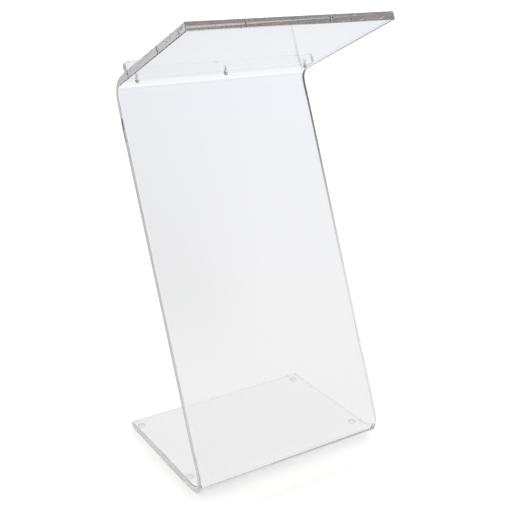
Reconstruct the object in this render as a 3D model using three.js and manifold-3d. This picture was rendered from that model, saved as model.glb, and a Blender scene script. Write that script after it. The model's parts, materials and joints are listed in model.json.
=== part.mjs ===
// Presentation lectern: one thick clear acrylic sheet, line-bent twice into a Z, that makes the
// base, the leaning panel and the sloping reading shelf. A clear ledge strip on the shelf stops
// papers from sliding off, three cap screws hold it from below, and four bumpers are the feet.
//
// Millimetres, +Z up. The origin is on the floor, under the middle of the footprint.
// The audience stands on the -Y side and the presenter on the +Y side.

import * as THREE from 'three';
import { mergeVertices } from 'three/addons/utils/BufferGeometryUtils.js';
import Module from 'manifold-3d';

// ---- driving dimensions ----------------------------------------------------------------------

const SHEET_WIDTH = 530;
const SHEET_THICKNESS = 20;
const BASE_DEPTH = 416;            // outer bottom corner, as if sharp, to the base's rear edge
const PANEL_LEAN = 22.9;           // degrees from upright, leaning back towards the presenter
const SHELF_SLOPE = 23.4;          // degrees from level, low at the presenter's side
const SHELF_CORNER_HEIGHT = 920;   // base underside to the corner of panel front and shelf underside
const SHELF_LENGTH = 389;          // that corner to the shelf's free edge
const BEND_INNER_RADIUS = 25;
const BEND_OUTER_RADIUS = 48;      // a little over inner radius plus thickness: the sheet thins here

const LEDGE_LENGTH = 518;
const LEDGE_THICKNESS = 20;
const LEDGE_HEIGHT = 25;
const LEDGE_CORNER_RADIUS = 7;
const LEDGE_DISTANCE = 54;         // shelf corner to the ledge's middle, along the slope
const LEDGE_CHAMFER = 0.8;
const READING_GAP = 1;             // between the ledge and the reading surface, a face of its own

const SCREW_SPACING = 235;
const SCREW_DIAMETER = 5;
const SCREW_LENGTH = 30;           // under the head
const SCREW_HEAD_DIAMETER = 8.5;
const SCREW_HEAD_HEIGHT = 5;
const SCREW_KEY_WIDTH = 4;         // hexagon socket, across flats
const SCREW_KEY_DEPTH = 2.5;
const SCREW_TIP_CHAMFER = 0.7;
const HOLE_DIAMETER = 5.6;
const LEDGE_HOLE_DEPTH = 13;
const WASHER_DIAMETER = 10;
const WASHER_THICKNESS = 1;

const FOOT_DIAMETER = 20;
const FOOT_HEIGHT = 5;
const FOOT_SOLE_DIAMETER = 15;
const FOOT_RIM_HEIGHT = 1;
const FOOT_SIDE_X = 246;           // foot centre from the middle plane
const FOOT_FRONT_Y = 115;          // foot centres from the outer bottom corner
const FOOT_REAR_Y = 396;

const CONTACT_GAP = 0.1;           // between pieces that touch
const BEND_SEGMENTS = 24;
const CORNER_SEGMENTS = 8;
const ROUND_SEGMENTS = 32;
const FOOT_CURVE_STEPS = 5;

// ---- materials -------------------------------------------------------------------------------

const clearAcrylic = () => new THREE.MeshStandardMaterial({
  color: 0xeef2f7, roughness: 0.03, metalness: 0, transparent: true, opacity: 0.35,
});
const clearBumper = () => new THREE.MeshStandardMaterial({
  color: 0xe4e8ea, roughness: 0.2, metalness: 0, transparent: true, opacity: 0.6,
});
const stainlessSteel = () => new THREE.MeshStandardMaterial({
  color: 0x9a9ca0, roughness: 0.3, metalness: 1,
});
const clearNylon = () => new THREE.MeshStandardMaterial({
  color: 0xe6e6e2, roughness: 0.35, metalness: 0, transparent: true, opacity: 0.6,
});

// ---- solids: joining and cutting -------------------------------------------------------------

const wasm = await Module();
wasm.setup();

function toSolid(geometry) {
  const bare = geometry.clone();
  bare.deleteAttribute('normal');
  bare.deleteAttribute('uv');
  const merged = mergeVertices(bare, 1e-4);
  return new wasm.Manifold(new wasm.Mesh({
    numProp: 3,
    vertProperties: new Float32Array(merged.attributes.position.array),
    triVerts: new Uint32Array(merged.index.array),
  }));
}

function toGeometry(solid) {
  const mesh = solid.getMesh();
  const geometry = new THREE.BufferGeometry();
  geometry.setAttribute('position', new THREE.BufferAttribute(mesh.vertProperties, 3));
  geometry.setIndex(new THREE.BufferAttribute(mesh.triVerts, 1));
  geometry.computeVertexNormals();
  return geometry;
}

function cut(geometry, cutters) {
  let solid = toSolid(geometry);
  for (const cutter of cutters) {
    solid = solid.subtract(toSolid(cutter));
  }
  return toGeometry(solid);
}

// An upright cylinder from z = low to z = high; six segments make a hexagon bar.
function uprightCylinder(diameter, low, high, segments = ROUND_SEGMENTS) {
  const cylinder = new THREE.CylinderGeometry(diameter / 2, diameter / 2, high - low, segments);
  cylinder.rotateX(Math.PI / 2);
  cylinder.translate(0, 0, (low + high) / 2);
  return cylinder;
}

// A profile turned about the z axis: points are (radius, z), from the axis back to the axis.
function turned(points) {
  const profile = points.map(([radius, z]) => new THREE.Vector2(radius, z));
  const lathe = new THREE.LatheGeometry(profile, ROUND_SEGMENTS);
  lathe.rotateX(Math.PI / 2);
  return lathe;
}

// ---- outlines --------------------------------------------------------------------------------

// A closed outline through corner points, each rounded to its own radius (0 leaves it sharp).
function roundedOutline(corners) {
  const shape = new THREE.Shape();
  corners.forEach(({ point, radius }, i) => {
    const before = corners[(i + corners.length - 1) % corners.length].point;
    const after = corners[(i + 1) % corners.length].point;
    const toBefore = before.clone().sub(point).normalize();
    const toAfter = after.clone().sub(point).normalize();
    let end = point;
    if (radius > 0) {
      const halfAngle = Math.acos(toBefore.dot(toAfter)) / 2;
      const start = point.clone().addScaledVector(toBefore, radius / Math.tan(halfAngle));
      end = point.clone().addScaledVector(toAfter, radius / Math.tan(halfAngle));
      const towardsCentre = toBefore.clone().add(toAfter).normalize();
      const centre = point.clone().addScaledVector(towardsCentre, radius / Math.sin(halfAngle));
      const startAngle = start.clone().sub(centre).angle();
      const endAngle = end.clone().sub(centre).angle();
      const clockwise = toBefore.cross(toAfter) > 0;
      if (i === 0) {
        shape.moveTo(start.x, start.y);
      } else {
        shape.lineTo(start.x, start.y);
      }
      shape.absarc(centre.x, centre.y, radius, startAngle, endAngle, clockwise);
    } else if (i === 0) {
      shape.moveTo(end.x, end.y);
    } else {
      shape.lineTo(end.x, end.y);
    }
  });
  shape.closePath();
  return shape;
}

// Where the line through a along u meets the line through b along v.
function crossing(a, u, b, v) {
  const along = b.clone().sub(a).cross(v) / u.cross(v);
  return a.clone().addScaledVector(u, along);
}

// A shape drawn in (y, z), drawn out along x to a width centred on x = 0.
function slab(shape, width, curveSegments) {
  const geometry = new THREE.ExtrudeGeometry(shape, { depth: width, curveSegments, bevelEnabled: false });
  geometry.translate(0, 0, -width / 2);
  const yAxis = new THREE.Vector3(0, 1, 0);
  const zAxis = new THREE.Vector3(0, 0, 1);
  const xAxis = new THREE.Vector3(1, 0, 0);
  return geometry.applyMatrix4(new THREE.Matrix4().makeBasis(yAxis, zAxis, xAxis));
}

// ---- the sheet's side profile, in (y, z), from its outer bottom corner -----------------------

const lean = THREE.MathUtils.degToRad(PANEL_LEAN);
const slope = THREE.MathUtils.degToRad(SHELF_SLOPE);
const alongBase = new THREE.Vector2(1, 0);
const upPanel = new THREE.Vector2(Math.sin(lean), Math.cos(lean));
const panelRearward = new THREE.Vector2(Math.cos(lean), -Math.sin(lean));
const upShelf = new THREE.Vector2(-Math.cos(slope), Math.sin(slope));
const shelfNormal = new THREE.Vector2(Math.sin(slope), Math.cos(slope));

const outerBottom = new THREE.Vector2(0, 0);
const baseTop = new THREE.Vector2(0, SHEET_THICKNESS);
const panelRear = outerBottom.clone().addScaledVector(panelRearward, SHEET_THICKNESS);
const innerBottom = crossing(baseTop, alongBase, panelRear, upPanel);
const innerTop = new THREE.Vector2(SHELF_CORNER_HEIGHT * Math.tan(lean), SHELF_CORNER_HEIGHT);
const shelfTop = innerTop.clone().addScaledVector(shelfNormal, SHEET_THICKNESS);
const outerTop = crossing(shelfTop, upShelf, panelRear, upPanel);

const readingStart = LEDGE_DISTANCE + LEDGE_THICKNESS / 2 + READING_GAP;
const sheetCorners = [
  { point: new THREE.Vector2(BASE_DEPTH, 0), radius: 0 },
  { point: new THREE.Vector2(BASE_DEPTH, SHEET_THICKNESS), radius: 0 },
  { point: innerBottom, radius: BEND_INNER_RADIUS },
  { point: outerTop, radius: BEND_OUTER_RADIUS },
  { point: shelfTop.clone().addScaledVector(upShelf, readingStart), radius: 0 },
  { point: shelfTop.clone().addScaledVector(upShelf, SHELF_LENGTH), radius: 0 },
  { point: innerTop.clone().addScaledVector(upShelf, SHELF_LENGTH), radius: 0 },
  { point: innerTop, radius: BEND_INNER_RADIUS },
  { point: outerBottom, radius: BEND_OUTER_RADIUS },
];

// The foremost point of the footprint is the nose of the bottom bend.
const bottomBendCentreY = BEND_OUTER_RADIUS * (1 + Math.sin(lean)) / Math.cos(lean);
const noseY = bottomBendCentreY - BEND_OUTER_RADIUS;
const footprintMiddleY = (noseY + BASE_DEPTH) / 2;

// ---- frames: the sheet stands on its feet, and the shelf's top face carries the ledge --------

const lectern = new THREE.Group();

const sheetFrame = new THREE.Group();
sheetFrame.position.set(0, -footprintMiddleY, FOOT_HEIGHT);
lectern.add(sheetFrame);

// x across, y down the slope, z off the face; the origin is above the inner top corner.
const shelfFrame = new THREE.Group();
shelfFrame.position.set(0, shelfTop.x, shelfTop.y);
shelfFrame.rotation.x = -slope;
sheetFrame.add(shelfFrame);

function addPiece(frame, name, geometry, material, position) {
  const mesh = new THREE.Mesh(geometry, material);
  mesh.name = name;
  mesh.position.copy(position);
  frame.add(mesh);
}

// ---- the sheet -------------------------------------------------------------------------------

const screwColumns = { left: -SCREW_SPACING, centre: 0, right: SCREW_SPACING };

function sheetGeometry() {
  const bent = slab(roundedOutline(sheetCorners), SHEET_WIDTH, BEND_SEGMENTS);
  const holes = Object.values(screwColumns).map((x) => {
    const hole = uprightCylinder(HOLE_DIAMETER, -2 * SHEET_THICKNESS, SHEET_THICKNESS);
    hole.translate(x, -LEDGE_DISTANCE, 0);
    hole.rotateX(-slope);
    hole.translate(0, shelfTop.x, shelfTop.y);
    return hole;
  });
  return cut(bent, holes);
}

addPiece(sheetFrame, 'lectern_sheet', sheetGeometry(), clearAcrylic(), new THREE.Vector3());

// ---- the ledge -------------------------------------------------------------------------------

// Its front outline is a bar with two rounded upper corners, as thick as the sheet.
function ledgeGeometry() {
  const half = LEDGE_LENGTH / 2;
  const outline = roundedOutline([
    { point: new THREE.Vector2(-half, 0), radius: 0 },
    { point: new THREE.Vector2(half, 0), radius: 0 },
    { point: new THREE.Vector2(half, LEDGE_HEIGHT), radius: LEDGE_CORNER_RADIUS },
    { point: new THREE.Vector2(-half, LEDGE_HEIGHT), radius: LEDGE_CORNER_RADIUS },
  ]);
  const bar = new THREE.ExtrudeGeometry(outline, {
    depth: LEDGE_THICKNESS - 2 * LEDGE_CHAMFER,
    curveSegments: CORNER_SEGMENTS,
    bevelEnabled: true,
    bevelSegments: 1,
    bevelSize: LEDGE_CHAMFER,
    bevelThickness: LEDGE_CHAMFER,
    bevelOffset: -LEDGE_CHAMFER,
  });
  bar.translate(0, 0, LEDGE_CHAMFER - LEDGE_THICKNESS / 2);
  bar.rotateX(Math.PI / 2);
  const holes = Object.values(screwColumns).map((x) => {
    const hole = uprightCylinder(HOLE_DIAMETER, -LEDGE_HEIGHT, LEDGE_HOLE_DEPTH);
    hole.translate(x, 0, 0);
    return hole;
  });
  return cut(bar, holes);
}

const ledgePosition = new THREE.Vector3(0, -LEDGE_DISTANCE, CONTACT_GAP);
addPiece(shelfFrame, 'book_ledge', ledgeGeometry(), clearAcrylic(), ledgePosition);

// ---- screws and washers ----------------------------------------------------------------------

// Socket head cap screw, head down, with its origin under the head.
function screwGeometry() {
  const shank = SCREW_DIAMETER / 2;
  const head = SCREW_HEAD_DIAMETER / 2;
  const body = turned([
    [0, -SCREW_HEAD_HEIGHT],
    [head - SCREW_TIP_CHAMFER, -SCREW_HEAD_HEIGHT],
    [head, SCREW_TIP_CHAMFER - SCREW_HEAD_HEIGHT],
    [head, 0],
    [shank, 0],
    [shank, SCREW_LENGTH - SCREW_TIP_CHAMFER],
    [shank - SCREW_TIP_CHAMFER, SCREW_LENGTH],
    [0, SCREW_LENGTH],
  ]);
  const keyDiameter = SCREW_KEY_WIDTH / Math.cos(Math.PI / 6);
  const socketFloor = SCREW_KEY_DEPTH - SCREW_HEAD_HEIGHT;
  const socket = uprightCylinder(keyDiameter, -2 * SCREW_HEAD_HEIGHT, socketFloor, 6);
  return cut(body, [socket]);
}

// A flat ring with its origin on its upper face.
function washerGeometry() {
  const disc = uprightCylinder(WASHER_DIAMETER, -WASHER_THICKNESS, 0);
  const bore = uprightCylinder(HOLE_DIAMETER, -2 * WASHER_THICKNESS, WASHER_THICKNESS);
  return cut(disc, [bore]);
}

const washerZ = -SHEET_THICKNESS - CONTACT_GAP;
const screwZ = washerZ - WASHER_THICKNESS - CONTACT_GAP;
for (const [side, x] of Object.entries(screwColumns)) {
  const screwPosition = new THREE.Vector3(x, -LEDGE_DISTANCE, screwZ);
  const washerPosition = new THREE.Vector3(x, -LEDGE_DISTANCE, washerZ);
  addPiece(shelfFrame, `ledge_screw_${side}`, screwGeometry(), stainlessSteel(), screwPosition);
  addPiece(shelfFrame, `screw_washer_${side}`, washerGeometry(), clearNylon(), washerPosition);
}

// ---- feet ------------------------------------------------------------------------------------

// A bumper with a straight upper rim and a side that curves in to its flat sole at z = 0.
function footGeometry() {
  const sole = FOOT_SOLE_DIAMETER / 2;
  const reach = (FOOT_DIAMETER - FOOT_SOLE_DIAMETER) / 2;
  const curveHeight = FOOT_HEIGHT - FOOT_RIM_HEIGHT;
  const profile = [[0, 0]];
  for (let i = 0; i <= FOOT_CURVE_STEPS; i += 1) {
    const turn = (Math.PI / 2) * (i / FOOT_CURVE_STEPS);
    profile.push([sole + reach * Math.sin(turn), curveHeight * (1 - Math.cos(turn))]);
  }
  profile.push([FOOT_DIAMETER / 2, FOOT_HEIGHT - CONTACT_GAP]);
  profile.push([0, FOOT_HEIGHT - CONTACT_GAP]);
  return turned(profile);
}

for (const [side, x] of [['left', -FOOT_SIDE_X], ['right', FOOT_SIDE_X]]) {
  for (const [end, y] of [['front', FOOT_FRONT_Y], ['rear', FOOT_REAR_Y]]) {
    const position = new THREE.Vector3(x, y - footprintMiddleY, 0);
    addPiece(lectern, `foot_${end}_${side}`, footGeometry(), clearBumper(), position);
  }
}

export default lectern;
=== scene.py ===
"""Looks for the clear acrylic presentation lectern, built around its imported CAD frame.

Metres, +Z up, the audience on the -Y side. Outline points are 2D vectors (y, z).
"""

import json
import math

import bmesh
import bpy
from mathutils import Matrix, Vector


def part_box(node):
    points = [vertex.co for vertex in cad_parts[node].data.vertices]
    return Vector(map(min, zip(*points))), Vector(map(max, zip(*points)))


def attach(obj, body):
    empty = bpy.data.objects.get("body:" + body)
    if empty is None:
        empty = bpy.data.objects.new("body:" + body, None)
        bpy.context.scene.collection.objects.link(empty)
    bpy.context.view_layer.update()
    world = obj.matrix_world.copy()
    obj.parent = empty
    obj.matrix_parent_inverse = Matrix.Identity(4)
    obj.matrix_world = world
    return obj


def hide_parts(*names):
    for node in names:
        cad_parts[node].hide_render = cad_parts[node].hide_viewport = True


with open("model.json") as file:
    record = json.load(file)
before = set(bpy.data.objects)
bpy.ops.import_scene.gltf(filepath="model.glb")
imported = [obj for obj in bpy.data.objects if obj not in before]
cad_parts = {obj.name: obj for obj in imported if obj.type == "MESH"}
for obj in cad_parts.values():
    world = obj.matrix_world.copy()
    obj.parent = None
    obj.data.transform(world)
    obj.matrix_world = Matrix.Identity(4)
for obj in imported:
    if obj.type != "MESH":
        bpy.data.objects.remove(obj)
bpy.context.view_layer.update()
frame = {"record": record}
mounts = {mount["name"]: mount for mount in frame["record"]["mounts"]}

# ---- driving dimensions, in metres ------------------------------------------------------------

SHEET_THICKNESS = 0.020
BEND_INNER_RADIUS = 0.025
BEND_OUTER_RADIUS = 0.048
BEND_DRAW_IN = 0.0016        # how far a bend's stretched outer face pulls in at each side
BEND_FADE = 0.030            # length beyond a bend over which that fades out
BEND_EASE = 0.45             # share of a bend over which its curvature fades in, and out again
POLISHED_ARRIS = 0.0016      # width of the polished bevel along every edge

LEDGE_THICKNESS = 0.020
LEDGE_HEIGHT = 0.025
LEDGE_CORNER_RADIUS = 0.007
LEDGE_FOOT_BEVEL = 1.2 * POLISHED_ARRIS
HOLE_DIAMETER = 0.0056
LEDGE_HOLE_DEPTH = 0.013
DRILL_POINT_DEPTH = 0.0015   # the cone that the drill leaves at a blind hole's end

SCREW_DIAMETER = 0.005
SCREW_PITCH = 0.0008
THREAD_DEPTH = 0.00049
THREAD_CREST = 0.12          # flat crest, as a share of half the pitch
THREAD_FLANK = 0.72          # sloping flank, the same way
SCREW_LENGTH = 0.030
SCREW_HEAD_DIAMETER = 0.0085
SCREW_HEAD_HEIGHT = 0.005
SCREW_KEY_WIDTH = 0.004
SCREW_KEY_DEPTH = 0.0025
KNURL_DEPTH = 0.00012
KNURL_RIDGES = 36
KNURL_UNDER_GAP = 0.0004     # plain band between the head's underside and the knurl
KNURL_TOP_GAP = 0.0007       # the same at the head's top
KNURL_RUN_IN = 0.0002        # over which the ridges rise
SCREW_HEAD_CHAMFER = 0.0003
SCREW_HEAD_ROUNDING = 0.0006
SCREW_MOUTH_WIDTH = 1.08 * SCREW_KEY_WIDTH
SCREW_MOUTH_DEPTH = 0.00025
SCREW_CONE_DEPTH = 0.0008    # cone at the bottom of the socket

WASHER_DIAMETER = 0.010
WASHER_THICKNESS = 0.001
WASHER_BEVEL = 0.00025

FOOT_SOLE_DIAMETER = 0.015
FOOT_RIM_HEIGHT = 0.001
FOOT_RIM_ROUNDING = 0.0003
FOOT_FLAT_RINGS = (0.2, 0.6, 0.9)   # rings that divide a foot's flat faces, by share of radius

CONTACT_GAP = 0.0001         # between pieces that touch
BEND_STEPS = 48
CORNER_STEPS = 16
ROUND_STEPS = 64
SCREW_STEPS = 72             # two for each ridge of the knurl, twelve for each side of the socket
THREAD_STEPS = 6             # for each turn


# ---- small helpers ----------------------------------------------------------------------------

def crossing(a, u, b, v):
    """Where the 2D line through a along u meets the line through b along v."""
    return a + u * ((b - a).cross(v) / u.cross(v))


def smooth(share):
    """A smooth step from 0 to 1."""
    share = min(max(share, 0), 1)
    return share * share * (3 - 2 * share)


def new_mesh_object(name, verts, faces, smooth=True):
    mesh = bpy.data.meshes.new(name)
    mesh.from_pydata([tuple(v) for v in verts], [], faces)
    mesh.validate()
    obj = bpy.data.objects.new(name, mesh)
    bpy.context.scene.collection.objects.link(obj)
    tool = bmesh.new()
    tool.from_mesh(mesh)
    bmesh.ops.remove_doubles(tool, verts=tool.verts, dist=1e-7)
    bmesh.ops.recalc_face_normals(tool, faces=tool.faces)
    for face in tool.faces:
        face.smooth = smooth
    tool.to_mesh(mesh)
    tool.free()
    return obj


def bake_modifiers(obj):
    """Replaces the object's mesh by what its modifiers make of it."""
    graph = bpy.context.evaluated_depsgraph_get()
    mesh = bpy.data.meshes.new_from_object(obj.evaluated_get(graph))
    obj.modifiers.clear()
    obj.data = mesh
    mesh.name = obj.name


def cut_away(obj, cutters):
    for cutter in cutters:
        modifier = obj.modifiers.new("cut", "BOOLEAN")
        modifier.operation = "DIFFERENCE"
        modifier.solver = "EXACT"
        modifier.object = cutter
    bake_modifiers(obj)
    for cutter in cutters:
        bpy.data.objects.remove(cutter)


def flatten_faces(obj):
    """Keeps broad faces optically flat, with crisp lines along the bevels."""
    obj.data.set_sharp_from_angle(angle=math.radians(30))
    modifier = obj.modifiers.new("flat_faces", "WEIGHTED_NORMAL")
    modifier.weight = 100
    modifier.keep_sharp = True
    bake_modifiers(obj)


def rings_to_faces(ring_count, ring_size, joined=False):
    """Faces between successive closed rings of points, numbered ring by ring. The last ring
    is joined to the first, or else the first and the last are each filled by one flat face."""
    faces = []
    for ring in range(ring_count if joined else ring_count - 1):
        for i in range(ring_size):
            j = (i + 1) % ring_size
            a, b = ring * ring_size, (ring + 1) % ring_count * ring_size
            faces.append((a + i, a + j, b + j, b + i))
    if not joined:
        last = (ring_count - 1) * ring_size
        faces.append(tuple(range(ring_size)))
        faces.append(tuple(range(last, last + ring_size)))
    return faces


def solid_from_rings(name, rings, joined=False):
    verts = [point for ring in rings for point in ring]
    return new_mesh_object(name, verts, rings_to_faces(len(rings), len(rings[0]), joined))


def circle(radius, z, steps=ROUND_STEPS):
    """A ring of points about z. The radius is a number, or a function of the angle."""
    points = []
    for i in range(steps):
        turn = math.tau * i / steps
        reach = radius(turn) if callable(radius) else radius
        points.append((reach * math.cos(turn), reach * math.sin(turn), z))
    return points


def turned(name, profile, joined=False):
    """A solid turned about z from (radius, z) points: a ring where the profile is joined up,
    or else a solid with two flat ends."""
    return solid_from_rings(name, [circle(radius, z) for radius, z in profile], joined)


def round_corner(centre, radius, start, end, steps=1):
    """Points on an arc about a 2D centre, angles in degrees. One step makes a straight bevel."""
    points = []
    for i in range(steps + 1):
        turn = math.radians(start + (end - start) * i / steps)
        points.append((centre[0] + radius * math.cos(turn), centre[1] + radius * math.sin(turn)))
    return points


def place(obj, matrix):
    """Moves the mesh itself, so that the object stays at the origin."""
    obj.data.transform(matrix)


# ---- the sheet's side profile -----------------------------------------------------------------

def yz(triple):
    return Vector((triple[1], triple[2]))


panel_normal = yz(mounts["panel_front"]["axis"]).normalized()
shelf_normal = yz(mounts["reading_surface"]["axis"]).normalized()
up_panel = Vector((panel_normal.y, -panel_normal.x))
up_shelf = Vector((-shelf_normal.y, shelf_normal.x))
along_base = Vector((1, 0))

sheet_low, sheet_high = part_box("lectern_sheet")
sheet_width = sheet_high.x - sheet_low.x
base_under = Vector((0, sheet_low.z))
base_over = base_under + Vector((0, SHEET_THICKNESS))
panel_front = yz(mounts["panel_front"]["pos_m"])
panel_back = panel_front - panel_normal * SHEET_THICKNESS
shelf_over = yz(mounts["reading_surface"]["pos_m"])
shelf_under = shelf_over - shelf_normal * SHEET_THICKNESS

outer_bottom = crossing(base_under, along_base, panel_front, up_panel)
inner_bottom = crossing(base_over, along_base, panel_back, up_panel)
inner_top = crossing(shelf_under, up_shelf, panel_front, up_panel)
outer_top = crossing(shelf_over, up_shelf, panel_back, up_panel)
base_end_under = Vector((sheet_high.y, base_under.y))
base_end_over = Vector((sheet_high.y, base_over.y))
free_end_over = crossing(shelf_over, up_shelf, Vector((0, sheet_high.z)), along_base)
free_end_under = free_end_over - shelf_normal * SHEET_THICKNESS


def bend_curve(corner, before, after, radius):
    """Points of the curve that rounds a corner. It cuts the corner as deep as an arc of the
    radius would, but its curvature fades in and out, as in a sheet heated along a line."""
    to_before = (before - corner).normalized()
    to_after = (after - corner).normalized()
    half = math.acos(to_before.dot(to_after)) / 2
    sweep = math.pi - 2 * half
    strengths = []
    for i in range(BEND_STEPS):
        share = (i + 0.5) / BEND_STEPS
        strengths.append(smooth(min(share, 1 - share) / BEND_EASE))
    total = sum(strengths)
    heading = 0
    unit_points = [Vector((0, 0))]
    for strength in strengths:
        heading += sweep * strength / total
        middle = heading - sweep * strength / total / 2
        unit_points.append(unit_points[-1] + Vector((math.cos(middle), math.sin(middle))))
    tangent = unit_points[-1].length / 2 / math.sin(half)
    depth = (unit_points[BEND_STEPS // 2] - Vector((tangent, 0))).length
    scale = (radius / math.sin(half) - radius) / depth
    ahead = -to_before
    aside = (to_after - ahead * to_after.dot(ahead)).normalized()
    start = corner + to_before * tangent * scale
    return [start + (ahead * point.x + aside * point.y) * scale for point in unit_points]


def surface_line(start, corner_1, radius_1, corner_2, radius_2, end):
    """One face of the sheet from the base's rear edge to the shelf's free edge, and how
    strongly each point belongs to the lower and to the upper bend."""
    lower = bend_curve(corner_1, start, corner_2, radius_1)
    upper = bend_curve(corner_2, corner_1, end, radius_2)
    line = [(start, 0, 0)]

    def fade_towards(bend_point, away_point, which, approaching):
        steps = 5
        run = (away_point - bend_point).normalized()
        order = range(steps, 0, -1) if approaching else range(1, steps + 1)
        for i in order:
            share = i / steps
            strength = 0.5 * (0.5 + 0.5 * math.cos(math.pi * share))
            weights = (strength, 0) if which == 0 else (0, strength)
            line.append((bend_point + run * (BEND_FADE * share), *weights))

    def through(points, which):
        for i, point in enumerate(points):
            strength = 0.5 + 0.5 * math.sin(math.pi * i / (len(points) - 1))
            line.append((point, strength, 0) if which == 0 else (point, 0, strength))

    fade_towards(lower[0], start, 0, True)
    through(lower, 0)
    fade_towards(lower[-1], upper[0], 0, False)
    fade_towards(upper[0], lower[-1], 1, True)
    through(upper, 1)
    fade_towards(upper[-1], end, 1, False)
    line.append((end, 0, 0))
    return line


front_line = surface_line(base_end_under, outer_bottom, BEND_OUTER_RADIUS,
                          inner_top, BEND_INNER_RADIUS, free_end_under)
back_line = surface_line(base_end_over, inner_bottom, BEND_INNER_RADIUS,
                         outer_top, BEND_OUTER_RADIUS, free_end_over)


def sheet_section(front, back, lower, upper, inset):
    """The sheet's cross-section at one station: a thin rectangle with bevelled corners.
    A bend's outer face is the front one below and the back one above."""
    across = (back - front).normalized()
    thickness = (back - front).length
    half = sheet_width / 2 - inset
    arris = POLISHED_ARRIS - inset
    sides = 4

    def drawn_in(depth):
        outerness = lower * (1 - depth) ** 2 + upper * depth ** 2
        return BEND_DRAW_IN * outerness

    right = round_corner((half - arris, inset + arris), arris, -90, 0)
    for i in range(1, sides):
        right.append((half, thickness * i / sides))
    right += round_corner((half - arris, thickness - inset - arris), arris, 0, 90)
    ring = []
    for x, depth in right:
        ring.append((x - drawn_in(depth / thickness), depth))
    ring += [(-x, depth) for x, depth in reversed(ring)]
    points = []
    for x, depth in ring:
        place_2d = front + across * depth
        points.append((x, place_2d.x, place_2d.y))
    return points


def screw_axis(side):
    """A point on the axis of one ledge screw, level with the washer's middle."""
    low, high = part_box(f"screw_washer_{side}")
    return (low + high) / 2


SIDES = ("left", "centre", "right")
slope = math.atan2(shelf_normal.x, shelf_normal.y)


def shelf_frame(point):
    """Local x across, y down the slope, z off the shelf's face, at a point."""
    return Matrix.Translation(point) @ Matrix.Rotation(-slope, 4, "X")


def hole_cutter(side, profile):
    """A drill's shape about a screw's axis, its profile's z measured off the shelf's top face."""
    cutter = turned("hole", profile)
    axis_point = screw_axis(side)
    foot = axis_point + Vector((0, *shelf_normal)) * (shelf_over - yz(axis_point)).dot(shelf_normal)
    place(cutter, shelf_frame(foot))
    return cutter


def make_sheet():
    rings = []

    def end_rings(front, back, outward, insets):
        for inset in insets:
            shift = outward * (inset - POLISHED_ARRIS)
            rings.append(sheet_section(front + shift, back + shift, 0, 0, inset))

    end_rings(front_line[0][0], back_line[0][0], along_base, (POLISHED_ARRIS, 0))
    for (front, lower, upper), (back, _, _) in list(zip(front_line, back_line))[1:-1]:
        rings.append(sheet_section(front, back, lower, upper, 0))
    end_rings(front_line[-1][0], back_line[-1][0], up_shelf, (0, POLISHED_ARRIS))
    sheet = solid_from_rings("acrylic_sheet", rings)
    through = 2 * SHEET_THICKNESS
    drill = [(HOLE_DIAMETER / 2, -through), (HOLE_DIAMETER / 2, through)]
    cut_away(sheet, [hole_cutter(side, drill) for side in SIDES])
    flatten_faces(sheet)
    return sheet


# ---- the ledge --------------------------------------------------------------------------------

ledge_low, ledge_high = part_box("book_ledge")
ledge_length = ledge_high.x - ledge_low.x


def ledge_outline(inset):
    """The ledge seen along the shelf: a bar with two well rounded upper corners, its outline
    drawn in by the inset. Points are (x, z) from the middle of its foot."""
    half = ledge_length / 2 - inset
    low, high = inset, LEDGE_HEIGHT - inset
    upper = LEDGE_CORNER_RADIUS - inset
    lower = LEDGE_FOOT_BEVEL - inset
    right = round_corner((half - lower, low + lower), lower, -90, 0)
    right += round_corner((half - upper, high - upper), upper, 0, 90, CORNER_STEPS)
    return right + [(-x, z) for x, z in reversed(right)]


def make_ledge():
    rings = []
    for end, insets in ((-1, (POLISHED_ARRIS, 0)), (1, (0, POLISHED_ARRIS))):
        for inset in insets:
            y = end * (LEDGE_THICKNESS / 2 - POLISHED_ARRIS + inset)
            rings.append([(x, y, z) for x, z in ledge_outline(inset)])
    ledge = solid_from_rings("acrylic_ledge", rings)
    middle = (ledge_low + ledge_high) / 2
    place(ledge, shelf_frame(middle) @ Matrix.Translation((0, 0, -LEDGE_HEIGHT / 2)))
    radius = HOLE_DIAMETER / 2
    drill = [
        (radius, -LEDGE_HEIGHT),
        (radius, LEDGE_HOLE_DEPTH),
        (radius / 8, LEDGE_HOLE_DEPTH + DRILL_POINT_DEPTH),
    ]
    cut_away(ledge, [hole_cutter(side, drill) for side in SIDES])
    flatten_faces(ledge)
    return ledge


# ---- screws and washers -----------------------------------------------------------------------

def thread_radius(turn, z):
    """A right-handed 60 degree thread with a narrow flat at its crest and its root."""
    phase = (z / SCREW_PITCH - turn / math.tau) % 1
    flank = min(max((abs(2 * phase - 1) - THREAD_CREST) / THREAD_FLANK, 0), 1)
    return SCREW_DIAMETER / 2 - THREAD_DEPTH * flank


def hexagon_radius(turn, across_flats):
    return across_flats / 2 / math.cos((turn + math.pi / 6) % (math.pi / 3) - math.pi / 6)


def knurled_radius(turn):
    return SCREW_HEAD_DIAMETER / 2 - KNURL_DEPTH * (0.5 - 0.5 * math.cos(turn * KNURL_RIDGES))


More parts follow.
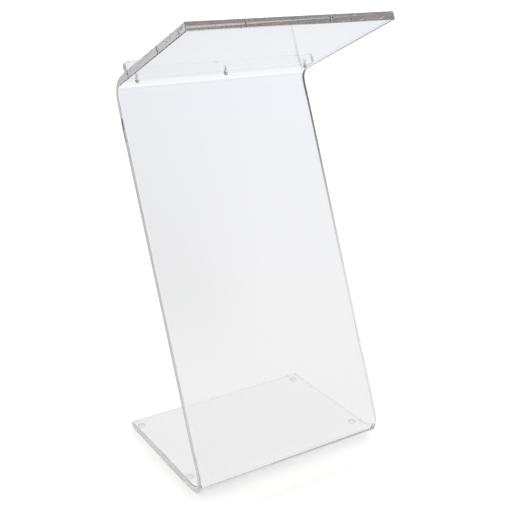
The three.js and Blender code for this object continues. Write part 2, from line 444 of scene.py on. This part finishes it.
def screw_rings():
    """Socket head cap screw, head down, with its origin under the head: rings of points from
    the tip, down the thread, round the knurled head and up into the hexagon socket."""
    head = SCREW_HEAD_DIAMETER / 2
    root = SCREW_DIAMETER / 2 - THREAD_DEPTH
    rings = [circle(root * share, SCREW_LENGTH, SCREW_STEPS) for share in (0.15, 0.6)]
    count = round(SCREW_LENGTH / SCREW_PITCH * THREAD_STEPS)
    for i in range(count, -1, -1):
        z = SCREW_LENGTH * i / count
        point = root + 2 * (SCREW_LENGTH - z)
        rings.append(circle(lambda turn: min(thread_radius(turn, z), point), z, SCREW_STEPS))
    base = -SCREW_HEAD_HEIGHT
    profile = [
        (head - SCREW_HEAD_CHAMFER, 0),
        (head, -SCREW_HEAD_CHAMFER),
        (head, -KNURL_UNDER_GAP),
        (knurled_radius, -KNURL_UNDER_GAP - KNURL_RUN_IN),
        (knurled_radius, base + KNURL_TOP_GAP + KNURL_RUN_IN),
        (head, base + KNURL_TOP_GAP),
    ]
    rounding = SCREW_HEAD_ROUNDING
    profile += round_corner((head - rounding, base + rounding), rounding, 0, -90, 5)
    for radius, z in profile:
        rings.append(circle(radius, z, SCREW_STEPS))
    floor = base + SCREW_KEY_DEPTH
    socket = (
        (SCREW_MOUTH_WIDTH, base),
        (SCREW_KEY_WIDTH, base + SCREW_MOUTH_DEPTH),
        (SCREW_KEY_WIDTH, floor),
    )
    for width, z in socket:
        rings.append(circle(lambda turn: hexagon_radius(turn, width), z, SCREW_STEPS))
    rings.append(circle(SCREW_KEY_WIDTH / 10, floor + SCREW_CONE_DEPTH, SCREW_STEPS))
    return rings


def make_screw(side):
    screw = solid_from_rings(f"cap_screw_{side}", screw_rings())
    under_head = Vector((0, *shelf_normal)) * (WASHER_THICKNESS / 2 + CONTACT_GAP)
    place(screw, shelf_frame(screw_axis(side) - under_head))
    screw.data.set_sharp_from_angle(angle=math.radians(35))
    return screw


def make_washer(side):
    """A flat nylon ring with bevelled edges."""
    inner, outer = HOLE_DIAMETER / 2, WASHER_DIAMETER / 2
    reach = WASHER_THICKNESS / 2 - WASHER_BEVEL
    corners = (
        (outer - WASHER_BEVEL, -reach, -90),
        (outer - WASHER_BEVEL, reach, 0),
        (inner + WASHER_BEVEL, reach, 90),
        (inner + WASHER_BEVEL, -reach, 180),
    )
    section = []
    for x, z, start in corners:
        section += round_corner((x, z), WASHER_BEVEL, start, start + 90)
    washer = turned(f"nylon_washer_{side}", section, joined=True)
    place(washer, shelf_frame(screw_axis(side)))
    return washer


# ---- feet -------------------------------------------------------------------------------------

def make_foot(place_name):
    """A bumper moulded from clear polyurethane: a flat sole, a side that swells out to a short
    upright rim, and a flat back stuck to the base."""
    low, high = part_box(f"foot_{place_name}")
    rim = (high.x - low.x) / 2
    height = high.z - low.z
    sole = FOOT_SOLE_DIAMETER / 2
    curve_height = height - FOOT_RIM_HEIGHT
    profile = [(sole * share, 0) for share in FOOT_FLAT_RINGS]
    for i in range(CORNER_STEPS + 1):
        turn = math.pi / 2 * i / CORNER_STEPS
        profile.append((sole + (rim - sole) * math.sin(turn), curve_height * (1 - math.cos(turn))))
    rounding = FOOT_RIM_ROUNDING
    profile += round_corner((rim - rounding, height - rounding), rounding, 0, 90, 5)
    profile += [(rim * share, height) for share in reversed(FOOT_FLAT_RINGS)]
    foot = turned(f"bumper_{place_name}", profile)
    place(foot, Matrix.Translation(((low.x + high.x) / 2, (low.y + high.y) / 2, low.z)))
    return foot


# ---- materials --------------------------------------------------------------------------------

ACRYLIC_IOR = 1.49
ABSORPTION_COLOUR = (0.59, 0.56, 0.55, 1)   # this and its strength were set by trial, to match
ABSORPTION_STRENGTH = 1.2                   # the photo's tones
WAVE_HEIGHT = 0.000012
FREE_END_GREY_DARK = (0.58, 0.56, 0.55, 1)     # the shelf's free end, painted to match the photo's grey:
FREE_END_GREY_PALE = (0.74, 0.72, 0.71, 1)     # what makes the real edge grey isn't known
FREE_END_GREY_FROM, FREE_END_GREY_FULL = 0.0008, 0.0004  # how far short of the free end that tone starts, and is full


def new_material(name):
    material = bpy.data.materials.new(name)
    material.use_nodes = True
    nodes = material.node_tree.nodes
    return material, nodes, material.node_tree.links, nodes["Principled BSDF"]


def surface_noise(nodes, links, scale, detail=4.0, stretch=(1, 1, 1)):
    """Noise in the object's own space, drawn out along an axis by a small stretch there."""
    space = nodes.new("ShaderNodeTexCoord")
    mapping = nodes.new("ShaderNodeMapping")
    mapping.inputs["Scale"].default_value = stretch
    links.new(space.outputs["Object"], mapping.inputs["Vector"])
    noise = nodes.new("ShaderNodeTexNoise")
    noise.inputs["Scale"].default_value = scale
    noise.inputs["Detail"].default_value = detail
    links.new(mapping.outputs["Vector"], noise.inputs["Vector"])
    return noise.outputs["Fac"]


def ranged(nodes, links, source, low, high, start=0.3, stop=0.7):
    """The source's middle range, spread from low to high."""
    spread = nodes.new("ShaderNodeMapRange")
    spread.inputs["From Min"].default_value = start
    spread.inputs["From Max"].default_value = stop
    spread.inputs["To Min"].default_value = low
    spread.inputs["To Max"].default_value = high
    links.new(source, spread.inputs["Value"])
    return spread.outputs["Result"]


def mixed(nodes, links, share, first, second):
    """A colour from first to second by the share; each is a colour or another node's output."""
    mix = nodes.new("ShaderNodeMix")
    mix.data_type = "RGBA"
    links.new(share, mix.inputs["Factor"])
    for name, colour in (("A", first), ("B", second)):
        if isinstance(colour, tuple):
            mix.inputs[name].default_value = colour
        else:
            links.new(colour, mix.inputs[name])
    return mix.outputs["Result"]


def bumped(nodes, links, shader, source, distance, strength=1.0):
    bump = nodes.new("ShaderNodeBump")
    bump.inputs["Distance"].default_value = distance
    bump.inputs["Strength"].default_value = strength
    links.new(source, bump.inputs["Height"])
    links.new(bump.outputs["Normal"], shader.inputs["Normal"])


def acrylic_material():
    """Clear acrylic with its usual index, tinted where the light runs a long way inside it. The
    faces carry a slight waviness and a little haze, the cut sides a finer ripple, and the
    shelf's free end a painted grey."""
    material, nodes, links, shader = new_material("clear_acrylic")
    haze = surface_noise(nodes, links, scale=7, detail=5)
    clean, wiped = (1, 1, 1, 1), (0.985, 0.987, 0.990, 1)
    face_tone = mixed(nodes, links, haze, clean, wiped)
    normal = nodes.new("ShaderNodeNewGeometry").outputs["Normal"]
    up_slope = nodes.new("ShaderNodeVectorMath")
    up_slope.operation = "DOT_PRODUCT"
    links.new(nodes.new("ShaderNodeTexCoord").outputs["Object"], up_slope.inputs[0])
    up_slope.inputs[1].default_value = (0, *up_shelf)
    free_end = free_end_over.dot(up_shelf)
    slope_place = up_slope.outputs["Value"]
    # a painted grey along the shelf's free end, in streaks of darker and paler grey; what makes the
    # real edge grey isn't known
    cut = ranged(nodes, links, slope_place, 0, 1, free_end - FREE_END_GREY_FROM, free_end - FREE_END_GREY_FULL)
    grey_streaks = surface_noise(nodes, links, scale=30, detail=3, stretch=(1, 0.1, 0.1))
    free_end_grey = mixed(nodes, links, ranged(nodes, links, grey_streaks, 0, 1), FREE_END_GREY_DARK, FREE_END_GREY_PALE)
    links.new(mixed(nodes, links, cut, face_tone, free_end_grey), shader.inputs["Base Color"])
    links.new(ranged(nodes, links, haze, 0.0, 0.004, start=0.45, stop=0.75), shader.inputs["Roughness"])
    shader.inputs["Transmission Weight"].default_value = 1
    shader.inputs["IOR"].default_value = ACRYLIC_IOR
    waviness = surface_noise(nodes, links, scale=9, detail=1)
    ripple = surface_noise(nodes, links, scale=24, detail=1)
    facing = nodes.new("ShaderNodeSeparateXYZ")
    links.new(normal, facing.inputs[0])
    sideways = nodes.new("ShaderNodeMath")
    sideways.operation = "ABSOLUTE"
    links.new(facing.outputs["X"], sideways.inputs[0])
    on_side = ranged(nodes, links, sideways.outputs[0], 0, 1, start=0.6, stop=0.95)
    height = nodes.new("ShaderNodeMix")
    links.new(on_side, height.inputs["Factor"])
    links.new(waviness, height.inputs["A"])
    links.new(ripple, height.inputs["B"])
    bumped(nodes, links, shader, height.outputs["Result"], WAVE_HEIGHT)
    absorb = nodes.new("ShaderNodeVolumeAbsorption")
    absorb.inputs["Color"].default_value = ABSORPTION_COLOUR
    absorb.inputs["Density"].default_value = ABSORPTION_STRENGTH
    links.new(absorb.outputs["Volume"], nodes["Material Output"].inputs["Volume"])
    return material


def steel_material():
    """Plain machined stainless steel, with a fine grain and faint stains."""
    material, nodes, links, shader = new_material("stainless_steel")
    shader.inputs["Metallic"].default_value = 1
    stain = surface_noise(nodes, links, scale=260, detail=3)
    tone = mixed(nodes, links, stain, (0.66, 0.66, 0.67, 1), (0.80, 0.80, 0.81, 1))
    links.new(tone, shader.inputs["Base Color"])
    grain = surface_noise(nodes, links, scale=5200, detail=2)
    links.new(ranged(nodes, links, grain, 0.22, 0.42), shader.inputs["Roughness"])
    bumped(nodes, links, shader, grain, 0.000004, 0.4)
    return material


def nylon_material():
    """Milky clear nylon, satin from its mould."""
    material, nodes, links, shader = new_material("milky_nylon")
    cloud = surface_noise(nodes, links, scale=420, detail=3)
    tone = mixed(nodes, links, cloud, (0.78, 0.78, 0.75, 1), (0.90, 0.90, 0.88, 1))
    links.new(tone, shader.inputs["Base Color"])
    shader.inputs["Transmission Weight"].default_value = 0.65
    shader.inputs["IOR"].default_value = 1.53
    links.new(ranged(nodes, links, cloud, 0.30, 0.42), shader.inputs["Roughness"])
    bumped(nodes, links, shader, surface_noise(nodes, links, scale=3000, detail=2), 0.00001, 0.3)
    return material


def bumper_material():
    """Soft clear polyurethane, faintly cloudy, with the bloom that handling leaves on it."""
    material, nodes, links, shader = new_material("clear_polyurethane")
    shader.inputs["Base Color"].default_value = (0.80, 0.81, 0.82, 1)
    shader.inputs["Transmission Weight"].default_value = 0.92
    shader.inputs["IOR"].default_value = 1.5
    bloom = surface_noise(nodes, links, scale=300, detail=4)
    links.new(ranged(nodes, links, bloom, 0.04, 0.16), shader.inputs["Roughness"])
    bumped(nodes, links, shader, bloom, 0.00003, 0.2)
    return material


def finish_piece(piece, node, material):
    piece.data.materials.clear()
    piece.data.materials.append(material)
    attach(piece, "root")
    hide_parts(node)


acrylic = acrylic_material()
steel = steel_material()
nylon = nylon_material()
polyurethane = bumper_material()
finish_piece(make_sheet(), "lectern_sheet", acrylic)
finish_piece(make_ledge(), "book_ledge", acrylic)
for side in SIDES:
    finish_piece(make_screw(side), f"ledge_screw_{side}", steel)
    finish_piece(make_washer(side), f"screw_washer_{side}", nylon)
for corner in ("front_left", "front_right", "rear_left", "rear_right"):
    finish_piece(make_foot(corner), f"foot_{corner}", polyurethane)

# ---- floor, light, camera ---------------------------------------------------------------------

# To the camera the floor and the light are plain and pale. Rays that reach them through the
# acrylic, or bounce, meet graded tones instead. These were placed by trial so that the acrylic
# shows the photo's greys, and they don't describe a real studio.


def level_direction(azimuth, rise=0):
    """Clockwise from +Y as seen from above, in degrees."""
    return Vector((math.sin(math.radians(azimuth)), math.cos(math.radians(azimuth)), rise))


FLOOR_REACH = 200
FLOOR_GLOW = 0.82
FLOOR_ALBEDO = 0.10
FLOOR_GLOW_SEEN = 0.36       # _SEEN: for rays that come straight from the camera
FLOOR_ALBEDO_SEEN = 0.95
FLOOR_FAR = 6
FLOOR_FAR_TINT = (0.99, 1.0, 1.065, 1)
FLOOR_FARTHEST = (8, 13)
FLOOR_FARTHEST_TINT = (0.905, 0.94, 0.99, 1)
DARK_ROOM = (0.02, 0.03, 0.05, 1)
DARK_TOWARDS = level_direction(-75)
DARK_WITHIN = 1.9            # the glow falls to 1/e over this distance, that way
DARK_WIDTHS = 9              # beyond so many of those the fade is left as it is
ASIDE = level_direction(110)
BEHIND_DIMMER = 0.09         # the share of the glow lost away from that side
BEHIND_EDGE = (-0.04, 0.24)  # cosines from ASIDE between which it sets in
BEHIND_START = (0.3, 1.1)    # distances over which it sets in
SHADE_AT = (-0.75, -0.50, 0)  # a dimmer patch around this point too, at the front left
SHADE_CORE = 0.1
SHADE_REACH = 0.55
SHADE_DEPTH = 0.5


def make_floor():
    """A plain white floor to the camera. To other rays it glows, cooler farther from the
    lectern, dimmer behind it and in a patch at the front left, and dark at the far left."""
    verts = [(-FLOOR_REACH, -FLOOR_REACH, 0), (FLOOR_REACH, -FLOOR_REACH, 0),
             (FLOOR_REACH, FLOOR_REACH, 0), (-FLOOR_REACH, FLOOR_REACH, 0)]
    floor = new_mesh_object("floor", verts, [(0, 1, 2, 3)])
    material, nodes, links, shader = new_material("floor_white")
    seen = nodes.new("ShaderNodeLightPath").outputs["Is Camera Ray"]
    links.new(ranged(nodes, links, seen, 0.8, 0.10, 0, 1), shader.inputs["Roughness"])
    links.new(ranged(nodes, links, seen, 0.1, 0.5, 0, 1), shader.inputs["Specular IOR Level"])
    grey = (FLOOR_ALBEDO, FLOOR_ALBEDO, FLOOR_ALBEDO, 1)
    grey_seen = (FLOOR_ALBEDO_SEEN, FLOOR_ALBEDO_SEEN, FLOOR_ALBEDO_SEEN, 1)
    links.new(mixed(nodes, links, seen, grey, grey_seen), shader.inputs["Base Color"])
    spot = nodes.new("ShaderNodeTexCoord").outputs["Object"]

    def measured(operation, other=(0, 0, 0)):
        measure = nodes.new("ShaderNodeVectorMath")
        measure.operation = operation
        links.new(spot, measure.inputs[0])
        measure.inputs[1].default_value = other
        return measure.outputs["Value"]

    distance = measured("DISTANCE")
    far = ranged(nodes, links, distance, 0, 1, 0, FLOOR_FAR)
    farthest = ranged(nodes, links, distance, 0, 1, *FLOOR_FARTHEST)
    glow = mixed(nodes, links, far, (1, 1, 1, 1), FLOOR_FAR_TINT)
    glow = mixed(nodes, links, farthest, glow, FLOOR_FARTHEST_TINT)
    aside = nodes.new("ShaderNodeMath")
    aside.operation = "DIVIDE"
    links.new(measured("DOT_PRODUCT", ASIDE), aside.inputs[0])
    links.new(distance, aside.inputs[1])
    dimmer = nodes.new("ShaderNodeMath")
    dimmer.operation = "MULTIPLY"
    links.new(ranged(nodes, links, aside.outputs[0], 1, 0, *BEHIND_EDGE), dimmer.inputs[0])
    links.new(ranged(nodes, links, distance, 0, BEHIND_DIMMER, *BEHIND_START), dimmer.inputs[1])
    glow = mixed(nodes, links, dimmer.outputs[0], glow, (0, 0, 0, 1))
    dark_reach = DARK_WIDTHS * DARK_WITHIN
    into_dark = measured("DOT_PRODUCT", DARK_TOWARDS)
    into_dark = ranged(nodes, links, into_dark, 0, DARK_WIDTHS, 0, dark_reach)
    squared = nodes.new("ShaderNodeMath")
    squared.operation = "MULTIPLY"
    links.new(into_dark, squared.inputs[0])
    links.new(into_dark, squared.inputs[1])
    fade = nodes.new("ShaderNodeMath")
    fade.operation = "POWER"
    fade.inputs[0].default_value = math.exp(-1)
    links.new(squared.outputs[0], fade.inputs[1])
    glow = mixed(nodes, links, fade.outputs[0], DARK_ROOM, glow)
    from_shade = measured("DISTANCE", SHADE_AT)
    shade = ranged(nodes, links, from_shade, SHADE_DEPTH, 0, SHADE_CORE, SHADE_REACH)
    glow = mixed(nodes, links, shade, glow, (0, 0, 0, 1))
    colour = mixed(nodes, links, seen, glow, (1, 1, 1, 1))
    links.new(colour, shader.inputs["Emission Color"])
    strength = ranged(nodes, links, seen, FLOOR_GLOW, FLOOR_GLOW_SEEN, 0, 1)
    links.new(strength, shader.inputs["Emission Strength"])
    floor.data.materials.append(material)


make_floor()

BRIGHT_SIDE = level_direction(60, -0.36).normalized()
BRIGHT_LIGHT = (1.03, 1.04, 1.07, 1)
DIM_LIGHT = (0.64, 0.63, 0.60, 1)


def make_studio_light():
    """Light all round, brightest at the far right and dimmest opposite that. A camera ray that
    misses everything sees plain white instead."""
    world = bpy.data.worlds.new("studio")
    bpy.context.scene.world = world
    world.use_nodes = True
    nodes, links = world.node_tree.nodes, world.node_tree.links
    space = nodes.new("ShaderNodeTexCoord")
    towards = nodes.new("ShaderNodeVectorMath")
    towards.operation = "DOT_PRODUCT"
    links.new(space.outputs["Generated"], towards.inputs[0])
    towards.inputs[1].default_value = BRIGHT_SIDE
    bright = ranged(nodes, links, towards.outputs["Value"], 0, 1, -1, 1)
    light = mixed(nodes, links, bright, DIM_LIGHT, BRIGHT_LIGHT)
    seen = nodes.new("ShaderNodeLightPath").outputs["Is Camera Ray"]
    links.new(mixed(nodes, links, seen, light, (1, 1, 1, 1)), nodes["Background"].inputs["Color"])


make_studio_light()

# From the fit of the photo's straight edges, in metres, degrees and millimetres of lens.
CAMERA_AT = Vector((-1.05934, -1.71588, 1.23081))
CAMERA_YAW, CAMERA_PITCH, CAMERA_ROLL = 31.954, -19.710, -0.181
CAMERA_LENS, SENSOR_WIDTH = 60.40, 36
GLASS_BOUNCES = 128          # light is caught inside the thick sheet for many reflections

camera_data = bpy.data.cameras.new("camera")
camera = bpy.data.objects.new("camera", camera_data)
bpy.context.scene.collection.objects.link(camera)
camera_data.sensor_width = SENSOR_WIDTH
camera_data.lens = CAMERA_LENS
camera.location = CAMERA_AT
turn = Matrix.Rotation(math.radians(-CAMERA_YAW), 4, "Z")
tilt = Matrix.Rotation(math.radians(90 + CAMERA_PITCH), 4, "X")
roll = Matrix.Rotation(math.radians(CAMERA_ROLL), 4, "Z")
camera.rotation_mode = "QUATERNION"
camera.rotation_quaternion = (turn @ tilt @ roll).to_quaternion()
bpy.context.scene.camera = camera

scene = bpy.context.scene
scene.view_settings.view_transform = "Standard"
scene.cycles.max_bounces = GLASS_BOUNCES
scene.cycles.transmission_bounces = GLASS_BOUNCES
scene.cycles.glossy_bounces = GLASS_BOUNCES
scene.cycles.diffuse_bounces = 4
